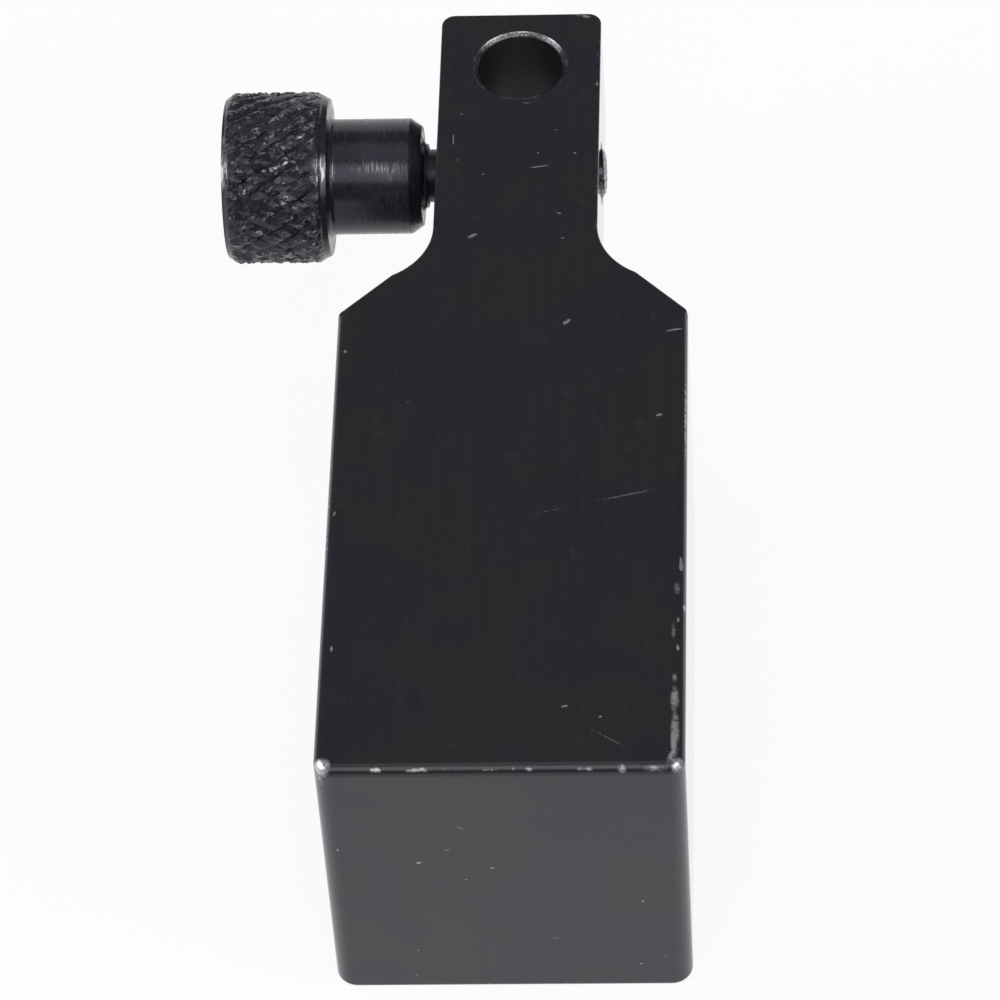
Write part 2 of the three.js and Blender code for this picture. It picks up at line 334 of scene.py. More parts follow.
# A Mix node's sockets for numbers and colours have the same names, so they go by their places
FACTOR = 0
NUMBER_A = 2
NUMBER_B = 3
COLOUR_A = 6
COLOUR_B = 7
MIXED_COLOUR = 2


def add(tree, kind, inputs=(), **settings):
    """Add a shader node with its settings and links.

    Inputs are a list in the node's own order, or go by name or place. Each is a value, a socket or
    a node, which stands for its first output. A colour has three values, and is opaque.
    """
    node = tree.nodes.new(kind)
    for name, value in settings.items():
        setattr(node, name, value)
    pairs = inputs.items() if isinstance(inputs, dict) else enumerate(inputs)
    for key, value in pairs:
        socket = node.inputs[key]
        if isinstance(value, bpy.types.Node):
            value = value.outputs[0]
        if isinstance(value, bpy.types.NodeSocket):
            tree.links.new(value, socket)
        else:
            socket.default_value = (*value, 1) if socket.type == "RGBA" else value
    return node


def new_finish(name):
    """Start a material: its empty tree and the object's own coordinates."""
    finish = bpy.data.materials.new(name)
    finish.use_nodes = True
    tree = finish.node_tree
    tree.nodes.clear()
    place = add(tree, "ShaderNodeTexCoord").outputs["Object"]
    return finish, tree, place


def marks_mask(tree, place, marks):
    """The strongest of a list of marks, each an ellipsoid that fades outwards."""
    whole = None
    for middle, halves, turn, strength in marks:
        local = add(tree, "ShaderNodeMapping", {
            "Vector": place,
            "Location": tuple(v * MM for v in middle),
            "Rotation": tuple(math.radians(v) for v in turn),
            "Scale": tuple(v * MM for v in halves)}, vector_type="TEXTURE")
        spot = add(tree, "ShaderNodeTexGradient", [local], gradient_type="SPHERICAL").outputs["Fac"]
        if strength != 1:
            spot = add(tree, "ShaderNodeMath", [spot, strength], operation="MULTIPLY")
        if whole is None:
            whole = spot
        else:
            whole = add(tree, "ShaderNodeMath", [whole, spot], operation="MAXIMUM")
    return whole


# Worn places: middle and half sizes in millimetres, turn about X, Y and Z in degrees, strength
FLAT = (0, 0, 0)
# Edges of the block, which the wear's noise breaks up
EDGE_MARKS = [
    ((0, -30.8, 37.75), (27, 0.45, 0.45), FLAT, 0.42),
    ((-8, -30.8, 37.75), (2.6, 0.5, 0.5), FLAT, 0.8),
    ((-12.5, -30.8, 37.75), (1.8, 0.5, 0.5), FLAT, 0.85),
    ((3.2, -30.8, 37.75), (1.4, 0.5, 0.5), FLAT, 0.7),
    ((8.6, -30.8, 37.75), (2.0, 0.5, 0.5), FLAT, 0.8),
    ((18.2, -15.4, 38.0), (0.28, 1.1, 0.4), FLAT, 1.1),
    ((18.2, -11.8, 38.0), (0.28, 1.0, 0.4), FLAT, 0.9),
    ((18.5, -4.3, 38.0), (0.35, 1.7, 0.5), FLAT, 1.3),
    ((18.85, -10.0, 37.6), (0.3, 0.9, 0.6), FLAT, 1.0),
    ((18.85, 16.0, 37.6), (0.3, 12.0, 0.5), FLAT, 0.8),
    ((8.75, 69.7, 37.9), (0.3, 1.1, 0.4), FLAT, 1.2),
    ((8.7, 65.3, 37.9), (0.35, 0.9, 0.4), FLAT, 1.1),
    ((8.95, 60.0, 37.85), (0.22, 15, 0.4), FLAT, 0.7),
    ((-8.95, 60.0, 37.85), (0.22, 15, 0.4), FLAT, 0.7),
    ((7.2, 75.8, 37.8), (2.2, 0.45, 0.6), (0, 0, -8), 1.4),
    ((-2.0, 76.1, 37.9), (7, 0.3, 0.5), FLAT, 0.7),
    ((-17.0, 33.2, 37.9), (2.6, 0.3, 0.5), (0, 0, 45), 0.6),
    ((17.0, 33.2, 37.9), (2.6, 0.3, 0.5), (0, 0, -45), 0.7),
    ((0, -31.0, 0.2), (22, 0.5, 0.4), FLAT, 0.8),
    ((19.0, 3.0, 0.3), (0.5, 34, 0.6), FLAT, 0.7),
    ((-19.0, 0.0, 0.3), (0.5, 34, 0.6), FLAT, 0.7),
    ((-18.9, 4.0, 37.7), (0.4, 30, 0.5), FLAT, 0.6),
    ((0, 76.2, 22.4), (9, 0.4, 0.4), FLAT, 0.8),
]
# Corners of the block, rubbed to bare metal: partly wear and partly painted highlights
CORNER_WEAR_AND_HIGHLIGHT_MARKS = [
    ((-18.1, -30.2, 37.5), (1.3, 1.2, 1.1), FLAT, 1.9),
    ((-18.3, -30.4, 36.3), (0.8, 0.9, 1.6), FLAT, 0.7),
    ((18.1, -30.2, 37.5), (1.0, 1.0, 0.9), FLAT, 1.3),
    ((17.7, -29.4, 37.9), (1.6, 0.55, 0.6), (0, 0, 65), 1.0),
    ((17.95, -26.4, 37.95), (0.6, 3.5, 0.8), FLAT, 0.95),
    ((17.85, -27.6, 38.0), (0.38, 2.3, 0.7), FLAT, 1.9),
    ((17.9, -19.4, 38.0), (0.4, 0.9, 0.5), FLAT, 0.6),
    ((17.75, -13.2, 38.0), (0.35, 1.6, 0.5), FLAT, 0.5),
    ((18.1, -7.6, 38.0), (0.5, 1.2, 0.5), FLAT, 0.5),
    ((17.9, -22.2, 37.95), (0.6, 2.2, 0.7), FLAT, 0.9),
    ((12.6, -30.8, 37.75), (0.6, 0.6, 0.6), FLAT, 0.9),
    ((16.0, -30.8, 37.75), (1.8, 0.5, 0.5), FLAT, 0.6),
]
# Nicks, specks and scratches of the block
NICK_MARKS = [
    ((12.6, 5.1, 38.1), (5.6, 0.2, 0.3), (0, 0, 14.3), 0.33),
    ((4.5, 3.05, 38.1), (5.5, 0.16, 0.3), (0, 0, 14.3), 0.22),
    ((11.1, -27.1, 38.1), (4.6, 0.12, 0.3), (0, 0, -34.3), 0.30),
    ((17.6, 28.3, 38.1), (1.2, 0.14, 0.4), (0, 0, 12), 1.1),
    ((2.5, 52.65, 38.1), (1.4, 0.12, 0.3), (0, 0, 9), 0.9),
    ((-4.7, 42.4, 38.1), (0.85, 0.32, 0.3), (0, 0, 30), 0.75),
    ((-7.2, 56.9, 38.1), (0.10, 1.1, 0.3), FLAT, 0.8),
    ((5.9, 29.6, 38.1), (0.8, 0.4, 0.3), (0, 0, 45), 0.6),
    ((16.05, 16.2, 38.1), (0.45, 0.18, 0.3), (0, 0, 15), 1.3),
    ((2.3, 54.7, 38.1), (0.14, 0.14, 0.2), FLAT, 1.0),
    ((6.4, 54.6, 38.1), (0.26, 0.2, 0.2), FLAT, 0.6),
    ((-3.7, 51.6, 38.1), (0.12, 0.12, 0.2), FLAT, 1.0),
    ((-6.6, 53.8, 38.1), (0.16, 0.1, 0.2), FLAT, 0.7),
    ((-6.4, 60.8, 38.1), (0.3, 0.1, 0.2), (0, 0, 20), 0.5),
    ((4.8, 45.6, 38.1), (0.4, 0.12, 0.2), (0, 0, -20), 0.8),
    ((5.3, 41.9, 38.1), (0.35, 0.12, 0.2), (0, 0, 10), 0.6),
    ((4.3, 58.2, 38.1), (0.3, 0.08, 0.2), (0, 0, 10), 0.5),
    ((0.9, 62.4, 38.1), (0.9, 0.09, 0.2), FLAT, 0.5),
    ((6.6, -23.0, 38.1), (0.45, 0.18, 0.3), (0, 0, 10), 0.8),
    ((10.3, -24.4, 38.1), (0.22, 0.18, 0.3), FLAT, 0.7),
    ((-18.0, 25.7, 38.1), (0.3, 0.25, 0.3), FLAT, 1.0),
    ((-18.2, 3.0, 38.1), (0.16, 0.5, 0.3), (0, 0, -15), 0.8),
    ((-17.7, -15.2, 38.1), (0.18, 0.5, 0.3), FLAT, 0.8),
    ((-10.9, 18.4, 38.1), (0.4, 0.1, 0.2), (0, 0, 25), 0.4),
    ((-9.0, -31.18, 22.3), (0.5, 0.2, 0.25), FLAT, 0.6),
    ((-1.4, -31.18, 21.3), (0.35, 0.2, 0.3), FLAT, 0.5),
    ((-4.2, -31.18, 19.3), (0.3, 0.2, 0.2), FLAT, 0.5),
    ((-6.0, -31.18, 24.5), (0.7, 0.2, 0.25), FLAT, 0.35),
    ((-4.4, -31.18, 28.3), (1.1, 0.2, 0.18), (0, 32, 0), 0.35),
    ((14.1, -31.18, 15.2), (0.18, 0.2, 0.18), FLAT, 0.6),
    ((4.7, -31.18, 8.7), (0.6, 0.2, 0.12), FLAT, 0.5),
    ((16.2, -31.18, 5.3), (0.3, 0.2, 0.15), FLAT, 0.5),
    ((13.6, -31.18, 3.9), (0.35, 0.2, 0.15), (0, -30, 0), 0.5),
    ((-17.3, -31.0, 24.6), (0.2, 0.4, 0.3), FLAT, 0.7),
    ((-10.0, -31.18, 6.6), (0.2, 0.2, 0.2), FLAT, 0.45),
    ((-10.3, -31.18, 2.1), (0.2, 0.2, 0.2), FLAT, 0.5),
    ((19.05, -12.0, 21.0), (0.2, 3.4, 0.12), (35, 0, 0), 0.5),
    ((19.05, 11.0, 12.0), (0.2, 0.8, 0.2), (-20, 0, 0), 0.6),
    ((-19.05, 6.0, 16.0), (0.2, 4.0, 0.12), (-25, 0, 0), 0.5),
    ((-19.05, -14.0, 27.0), (0.2, 0.5, 0.4), FLAT, 0.6),
]
# Where fingers hold the knob, with the middles measured from the screw's axis. They are partly wear and
# partly painted highlights
HANDLED_AND_HIGHLIGHT_MARKS = [
    ((-15.6, -3.75, 5.3), (4.6, 1.3, 1.0), (40, 0, 0), 0.5),
    ((-14.6, -4.0, 5.15), (2.6, 1.9, 0.8), (40, 0, 0), 0.42),
    ((-20.75, -4.0, 5.4), (0.3, 1.7, 0.7), (40, 0, 0), 1.5),
    ((-21.8, -5.6, 7.2), (1.4, 2.2, 1.2), (40, 0, 0), 1.25),
    ((-32.8, -5.8, 7.1), (0.7, 2.6, 0.9), (40, 0, 0), 1.4),
    ((-32.9, -3.0, 8.9), (0.5, 2.4, 0.8), (15, 0, 0), 0.6),
]


def blackened_steel_body():
    """Mild steel bar, milled and ground, then black-oxided.

    The eye sees a satin near-black with a little blue in it, cloudy where the oxide took unevenly,
    and bright steel along the edges and in the nicks where it has rubbed off. On the near corners and
    the bore's far chamfer that bright steel is partly a painted highlight, and the bore's wall is
    darkened as painted shade.
    """
    wear = bpy.context.scene.holder_block
    finish, tree, place = new_finish("black_oxide_on_ground_steel")
    # Scales are spots per millimetre: clouds of 13 mm, patches of 1.1 mm and grit of 0.17 mm
    clouds = add(tree, "ShaderNodeTexNoise", {
        "Vector": place, "Scale": 0.075 / MM, "Detail": 3, "Distortion": 0.6})
    patches = add(tree, "ShaderNodeTexNoise", {"Vector": place, "Scale": 0.9 / MM, "Detail": 3})
    # Grinding lines run along the bar, 0.05 to 0.1 mm apart on the real one, drawn three times as wide
    along = add(tree, "ShaderNodeMapping", {"Vector": place, "Scale": (1, 0.02, 1)}, vector_type="POINT")
    lines = add(tree, "ShaderNodeTexNoise", {"Vector": along, "Scale": 4 / MM})
    grit = add(tree, "ShaderNodeTexNoise", {"Vector": place, "Scale": 6 / MM})

    # The oxide is cloudy, from a neutral black to one that leans to violet, with paler patches
    violet = add(tree, "ShaderNodeMapRange", [clouds, 0.44, 0.56], **SMOOTH)
    tone = add(tree, "ShaderNodeMix", {
        FACTOR: violet, COLOUR_A: wear.oxide, COLOUR_B: linear("#1d1d25"),
    }, data_type="RGBA").outputs[MIXED_COLOUR]
    pale = add(tree, "ShaderNodeMapRange", [patches, 0.6, 0.8, 0, 0.5], **SMOOTH)
    tone = add(tree, "ShaderNodeMix", {
        FACTOR: pale, COLOUR_A: tone, COLOUR_B: linear("#2e2e31"),
    }, data_type="RGBA").outputs[MIXED_COLOUR]

    # Every edge is lightly rubbed, in patches
    rounded = add(tree, "ShaderNodeBevel", {"Radius": 0.45 * MM}, samples=6)
    true = add(tree, "ShaderNodeNewGeometry").outputs["True Normal"]
    turn = add(tree, "ShaderNodeVectorMath", [rounded, true], operation="DOT_PRODUCT").outputs["Value"]
    edge = add(tree, "ShaderNodeMapRange", [turn, 0.995, 0.86], **SMOOTH)
    patchy = add(tree, "ShaderNodeMapRange", [patches, 0.5, 0.75, 0, 0.55], **SMOOTH)
    light = add(tree, "ShaderNodeMath", [edge, patchy], operation="MULTIPLY")

    # The marked stretches of the edges are rubbed through, broken up by noise
    edges = marks_mask(tree, place, EDGE_MARKS)
    broken = add(tree, "ShaderNodeTexNoise", {"Vector": place, "Scale": 1.7 / MM, "Detail": 4})
    rubbed = add(tree, "ShaderNodeMath", [edges, 0.75], operation="MULTIPLY")
    rubbed = add(tree, "ShaderNodeMath", [rubbed, broken], operation="ADD")
    rubbed = add(tree, "ShaderNodeMapRange", [rubbed, 0.8, 1.15, 0, 0.8], **SMOOTH)
    marked = add(tree, "ShaderNodeMapRange", [edges, 0.02, 0.3], **SMOOTH)
    rubbed = add(tree, "ShaderNodeMath", [rubbed, marked], operation="MULTIPLY")

    nicks = marks_mask(tree, place, NICK_MARKS)
    gritty = add(tree, "ShaderNodeMapRange", [grit, 0.3, 0.6, 0.5, 1.4], **SMOOTH)
    nicks = add(tree, "ShaderNodeMath", [nicks, gritty], operation="MULTIPLY")
    nicks = add(tree, "ShaderNodeMapRange", [nicks, 0.12, 0.7], **SMOOTH)

    # The bore's chamfers are rubbed bright by the stems that went in, most along their outer rims, and
    # their far side also carries a painted highlight.
    # The wall is 4.80 mm from the axis, and the chamfers end at 5.25 mm.
    from_bore = add(tree, "ShaderNodeVectorMath", [place, (0, BORE_Y, 0)], operation="SUBTRACT")
    level = add(tree, "ShaderNodeVectorMath", [from_bore, (1, 1, 0)], operation="MULTIPLY")
    reach = add(tree, "ShaderNodeVectorMath", [level], operation="LENGTH").outputs["Value"]
    inner = add(tree, "ShaderNodeMapRange", [reach, 4.86 * MM, 4.95 * MM], **SMOOTH)
    outer = add(tree, "ShaderNodeMapRange", [reach, 5.27 * MM, 5.24 * MM], **SMOOTH)
    rim = add(tree, "ShaderNodeMapRange", [reach, 5.12 * MM, 5.18 * MM], **SMOOTH)
    rim = add(tree, "ShaderNodeMath", [rim, outer], operation="MULTIPLY")
    patchy_rim = add(tree, "ShaderNodeMapRange", [patches, 0.3, 0.6, 0.1, 0.7], **SMOOTH)
    rim = add(tree, "ShaderNodeMath", [rim, patchy_rim], operation="MULTIPLY")
    ring = add(tree, "ShaderNodeMath", [inner, outer], operation="MULTIPLY")
    specks = add(tree, "ShaderNodeMapRange", [grit, 0.45, 0.66, 0.03, 0.6], **SMOOTH)
    ring = add(tree, "ShaderNodeMath", [ring, specks], operation="MULTIPLY")
    ring = add(tree, "ShaderNodeMath", [ring, rim], operation="MAXIMUM")
    # Only their far side is made bare, partly as wear and partly as a painted highlight, and the near side
    # keeps its oxide
    along_neck = add(tree, "ShaderNodeSeparateXYZ", [from_bore]).outputs["Y"]
    far_side_highlight = add(tree, "ShaderNodeMapRange", [along_neck, 1.9 * MM, 3.2 * MM, 0.05, 1], **SMOOTH)
    ring = add(tree, "ShaderNodeMath", [ring, far_side_highlight], operation="MULTIPLY")
    # Inside the bore the reamed wall is dull, and its colour is darkened towards black as painted shade
    bore_wall_and_shade = add(tree, "ShaderNodeMapRange", [reach, 4.84 * MM, 4.81 * MM], **SMOOTH)

    # The corners are rubbed most, and unevenly; these bare patches are partly wear and partly painted
    # highlights
    mottled = add(tree, "ShaderNodeMapping", {
        "Vector": place, "Scale": (0.5 * MM, 0.38 * MM, 0.5 * MM)}, vector_type="TEXTURE")
    uneven = add(tree, "ShaderNodeTexNoise", {
        "Vector": mottled, "Scale": 1, "Detail": 3, "Distortion": 0.5})
    uneven = add(tree, "ShaderNodeMapRange", [uneven, 0.3, 0.7, 0.5, 1.2], **SMOOTH)
    corner_wear_and_highlight = marks_mask(tree, place, CORNER_WEAR_AND_HIGHLIGHT_MARKS)
    corner_wear_and_highlight = add(tree, "ShaderNodeMath", [corner_wear_and_highlight, uneven], operation="MULTIPLY")
    corner_wear_and_highlight = add(tree, "ShaderNodeMapRange", [corner_wear_and_highlight, 0.05, 0.95], **SMOOTH)

    # The bare steel joins real wear with the painted highlights on the corners and on the bore's far
    # chamfer
    bare = light
    for worn in (rubbed, corner_wear_and_highlight, nicks, ring):
        bare = add(tree, "ShaderNodeMath", [bare, worn], operation="MAXIMUM")
    # Painted shade: the bore's wall is darkened to near black
    tone = add(tree, "ShaderNodeMix", {
        FACTOR: bore_wall_and_shade, COLOUR_A: tone, COLOUR_B: linear("#0d0d0f"),
    }, data_type="RGBA").outputs[MIXED_COLOUR]
    tone = add(tree, "ShaderNodeMix", {
        FACTOR: bare, COLOUR_A: tone, COLOUR_B: wear.steel,
    }, data_type="RGBA").outputs[MIXED_COLOUR]

    # Seen along the surface, the grinding lines hide each other and it shines more
    facing = add(tree, "ShaderNodeLayerWeight", {"Blend": 0.5}).outputs["Facing"]
    slanting = add(tree, "ShaderNodeMapRange", [facing, 0.8, 0.97, 1, 0.2], **SMOOTH)
    dull = add(tree, "ShaderNodeMapRange", [lines, 0.3, 0.7, 0.22, 0.29], **SMOOTH)
    dull = add(tree, "ShaderNodeMath", [dull, slanting], operation="MULTIPLY")
    dull_walls = add(tree, "ShaderNodeMath", [bore_wall_and_shade, 0.27], operation="MULTIPLY")
    dull = add(tree, "ShaderNodeMath", [dull, dull_walls], operation="ADD")
    rough = add(tree, "ShaderNodeMix", {FACTOR: bare, NUMBER_A: dull, NUMBER_B: 0.36})
    tint = add(tree, "ShaderNodeMix", {
        FACTOR: violet, COLOUR_A: linear("#f1f0f8"), COLOUR_B: linear("#e6e3ff"),
    }, data_type="RGBA").outputs[MIXED_COLOUR]
    # A thin film of oil over the oxide is what makes the sides shine where they are seen at a low angle
    oil = add(tree, "ShaderNodeMapRange", [bore_wall_and_shade, 0, 1, 0.31, 0.02], **SMOOTH)
    high_lines = add(tree, "ShaderNodeMath", [lines, 0.4], operation="MULTIPLY")
    high_grit = add(tree, "ShaderNodeMath", [grit, 0.6], operation="MULTIPLY")
    relief = add(tree, "ShaderNodeMath", [high_lines, high_grit], operation="ADD")
    bump = add(tree, "ShaderNodeBump", {"Height": relief, "Strength": 0.13, "Distance": 0.01 * MM})
    shader = add(tree, "ShaderNodeBsdfPrincipled", {
        "Base Color": tone, "Metallic": bare, "Roughness": rough, "Normal": bump,
        "Specular IOR Level": 0.42, "Specular Tint": tint,
        "Coat Weight": oil, "Coat Roughness": 0.05, "Coat IOR": 1.47})
    add(tree, "ShaderNodeOutputMaterial", {"Surface": shader})
    return finish


def blackened_steel_knob():
    """Round bar, turned and knurled, then black-oxided.

    The eye sees a bluish black with fine rings from the turning tool, and knurl crests rubbed to a
    dull silver by fingers.
    """
    look = bpy.context.scene.holder_screw
    finish, tree, place = new_finish("blue_black_oxide_on_turned_steel")
    offset = add(tree, "ShaderNodeVectorMath", [place, (0, SCREW_Y, SCREW_Z)], operation="SUBTRACT")
    across = add(tree, "ShaderNodeVectorMath", [offset, (0, 1, 1)], operation="MULTIPLY")
    reach = add(tree, "ShaderNodeVectorMath", [across], operation="LENGTH").outputs["Value"]
    # Turning rings 0.1 mm apart, drawn 0.2 mm apart to show
    along = add(tree, "ShaderNodeMapping", {
        "Vector": place, "Scale": (1, 0.03, 0.03)}, vector_type="POINT")
    rings = add(tree, "ShaderNodeTexNoise", {"Vector": along, "Scale": 5 / MM})
    spots = add(tree, "ShaderNodeTexNoise", {"Vector": place, "Scale": 2.6 / MM, "Detail": 4})
    clouds = add(tree, "ShaderNodeTexNoise", {"Vector": place, "Scale": 0.35 / MM, "Detail": 3})
    # Specks of 0.14 mm, where the oxide's surface is rough
    grit = add(tree, "ShaderNodeTexNoise", {"Vector": place, "Scale": 7 / MM})

    cloudy = add(tree, "ShaderNodeMapRange", [clouds, 0.35, 0.7], **SMOOTH)
    tone = add(tree, "ShaderNodeMix", {
        FACTOR: cloudy, COLOUR_A: look.oxide, COLOUR_B: linear("#25252f"),
    }, data_type="RGBA").outputs[MIXED_COLOUR]

    # The knurl laid out flat: along the axis, and round the head. Its wear runs along one of its helices
    sides = add(tree, "ShaderNodeSeparateXYZ", [offset]).outputs
    around = add(tree, "ShaderNodeMath", [sides["Y"], sides["Z"]], operation="ARCTAN2")
    around = add(tree, "ShaderNodeMath", [around, CREST], operation="MULTIPLY")
    unrolled = add(tree, "ShaderNodeCombineXYZ", [sides["X"], around])
    helical = add(tree, "ShaderNodeMapping", {
        "Vector": unrolled, "Rotation": (0, 0, math.radians(27)),
        "Scale": (2.2 * MM, 0.8 * MM, MM)}, vector_type="TEXTURE")
    drag = add(tree, "ShaderNodeTexNoise", {
        "Vector": helical, "Scale": 1, "Detail": 1.5, "Distortion": 0.3})
    crest = add(tree, "ShaderNodeMapRange", [reach, CREST - 0.32 * MM, CREST - 0.12 * MM], **SMOOTH)
    spotted = add(tree, "ShaderNodeMapRange", [spots, 0.45, 0.65, 0, 0.75], **SMOOTH)
    dragged = add(tree, "ShaderNodeMapRange", [drag, 0.48, 0.64, 0.05, 1.3], **SMOOTH)
    crest = add(tree, "ShaderNodeMath", [crest, spotted], operation="MULTIPLY")
    crest = add(tree, "ShaderNodeMath", [crest, dragged], operation="MULTIPLY")

    # Chamfers and hub carry short streaks along the tool's path, which break up the gloss
    swept = add(tree, "ShaderNodeMapping", {
        "Vector": place, "Scale": (1, 0.22, 0.22)}, vector_type="POINT")
    streaks = add(tree, "ShaderNodeTexNoise", {"Vector": swept, "Scale": 4.5 / MM, "Detail": 3})
    plain = add(tree, "ShaderNodeMapRange", [reach, CREST - 0.3 * MM, CREST - 0.5 * MM], **SMOOTH)
    streak = add(tree, "ShaderNodeMapRange", [streaks, 0.6, 0.8, 0, 0.1], **SMOOTH)
    streak = add(tree, "ShaderNodeMath", [plain, streak], operation="MULTIPLY")

    # Fingers rub the upper side: fine lines round the hub, and the rims of both chamfers. These bare marks
    # are partly wear and partly painted highlights
    wrapped = add(tree, "ShaderNodeMapping", {
        "Vector": place, "Scale": (0.13 * MM, 1.3 * MM, 1.3 * MM)}, vector_type="TEXTURE")
    fine = add(tree, "ShaderNodeTexNoise", {"Vector": wrapped, "Scale": 1})
    fine = add(tree, "ShaderNodeMapRange", [fine, 0.42, 0.62, 0.12, 1.4], **SMOOTH)
    handled_and_highlight = marks_mask(tree, offset, HANDLED_AND_HIGHLIGHT_MARKS)
    handled_and_highlight = add(tree, "ShaderNodeMath", [handled_and_highlight, fine], operation="MULTIPLY")
    handled_and_highlight = add(tree, "ShaderNodeMapRange", [handled_and_highlight, 0.05, 1, 0, 0.85], **SMOOTH)

    bare = crest
    for worn in (streak, handled_and_highlight):
        bare = add(tree, "ShaderNodeMath", [bare, worn], operation="MAXIMUM")
    tone = add(tree, "ShaderNodeMix", {
        FACTOR: bare, COLOUR_A: tone, COLOUR_B: look.steel,
    }, data_type="RGBA").outputs[MIXED_COLOUR]
    metal = add(tree, "ShaderNodeMath", [bare, 0.9], operation="MULTIPLY")
    dull = add(tree, "ShaderNodeMapRange", [streaks, 0.35, 0.65, 0.15, 0.32], **SMOOTH)
    rough = add(tree, "ShaderNodeMix", {FACTOR: bare, NUMBER_A: dull, NUMBER_B: 0.42})
    high_rings = add(tree, "ShaderNodeMath", [rings, 0.7], operation="MULTIPLY")
    high_grit = add(tree, "ShaderNodeMath", [grit, 0.3], operation="MULTIPLY")
    relief = add(tree, "ShaderNodeMath", [high_rings, high_grit], operation="ADD")
    bump = add(tree, "ShaderNodeBump", {"Height": relief, "Strength": 0.5, "Distance": 0.03 * MM})
    # The knurl is battered unevenly, deeper than its fine lines
    knurled = add(tree, "ShaderNodeMapRange", [reach, CREST - 0.6 * MM, CREST - 0.45 * MM], **SMOOTH)
    battered = add(tree, "ShaderNodeMath", [drag, knurled], operation="MULTIPLY")
    bump = add(tree, "ShaderNodeBump", {
        "Height": battered, "Strength": 0.8, "Distance": 0.34 * MM, "Normal": bump})
    shader = add(tree, "ShaderNodeBsdfPrincipled", {
        "Base Color": tone, "Metallic": metal, "Roughness": rough, "Normal": bump,
        "Specular IOR Level": 0.4, "Specular Tint": linear("#ececff")})
    add(tree, "ShaderNodeOutputMaterial", {"Surface": shader})
    return finish


def worn_steel_stud():
    """Threaded steel rod with its oxide partly rubbed off.

    The eye sees a dull silver speckled with black remains of the oxide.
    """
    look = bpy.context.scene.holder_screw
    finish, tree, place = new_finish("threaded_steel_with_worn_oxide")
    spots = add(tree, "ShaderNodeTexNoise", {"Vector": place, "Scale": 4.5 / MM, "Detail": 4})
    # Only the tip, which stands out of the neck, is rubbed down to the steel
    across = add(tree, "ShaderNodeSeparateXYZ", [place]).outputs["X"]
    tip = add(tree, "ShaderNodeMapRange", [
        across, STUD_HIGH.x - 0.7 * MM, STUD_HIGH.x - 0.35 * MM], **SMOOTH)
    kept = add(tree, "ShaderNodeMapRange", [spots, 0.46, 0.56], **SMOOTH)
    gone = add(tree, "ShaderNodeMath", [1, kept], operation="SUBTRACT")
    worn = add(tree, "ShaderNodeMath", [tip, gone], operation="MULTIPLY")
    oxide = add(tree, "ShaderNodeMath", [1, worn], operation="SUBTRACT")
    tone = add(tree, "ShaderNodeMix", {
        FACTOR: oxide, COLOUR_A: look.steel, COLOUR_B: linear("#1c1c20"),
    }, data_type="RGBA").outputs[MIXED_COLOUR]
    metal = add(tree, "ShaderNodeMapRange", [oxide, 0, 1, 1, 0.3], **SMOOTH)
    rough = add(tree, "ShaderNodeMapRange", [spots, 0.3, 0.7, 0.28, 0.48], **SMOOTH)
    bump = add(tree, "ShaderNodeBump", {"Height": spots, "Strength": 0.5, "Distance": 0.03 * MM})
    shader = add(tree, "ShaderNodeBsdfPrincipled", {
        "Base Color": tone, "Metallic": metal, "Roughness": rough, "Normal": bump})
    add(tree, "ShaderNodeOutputMaterial", {"Surface": shader})
    return finish


def bare_steel_plug():
    """Turned bright steel, slightly dull from handling.

    The eye sees grey steel with fine rings round the axis and a few darker stains.
    """
    look = bpy.context.scene.holder_screw
    finish, tree, place = new_finish("turned_bare_steel")
    # Turning rings, drawn as coarse as on the knob
    along = add(tree, "ShaderNodeMapping", {
        "Vector": place, "Scale": (1, 0.05, 0.05)}, vector_type="POINT")
    rings = add(tree, "ShaderNodeTexNoise", {"Vector": along, "Scale": 5 / MM})
    stains = add(tree, "ShaderNodeTexNoise", {"Vector": place, "Scale": 0.5 / MM, "Detail": 4})
    stained = add(tree, "ShaderNodeMapRange", [stains, 0.5, 0.75, 0, 0.6], **SMOOTH)
    tone = add(tree, "ShaderNodeMix", {
        FACTOR: stained, COLOUR_A: look.steel, COLOUR_B: linear("#6f6a63"),
    }, data_type="RGBA").outputs[MIXED_COLOUR]
    rough = add(tree, "ShaderNodeMapRange", [rings, 0.3, 0.7, 0.26, 0.4], **SMOOTH)
    bump = add(tree, "ShaderNodeBump", {"Height": rings, "Strength": 0.4, "Distance": 0.02 * MM})
    shader = add(tree, "ShaderNodeBsdfPrincipled", {
        "Base Color": tone, "Metallic": 1, "Roughness": rough, "Normal": bump})
    add(tree, "ShaderNodeOutputMaterial", {"Surface": shader})
    return finish


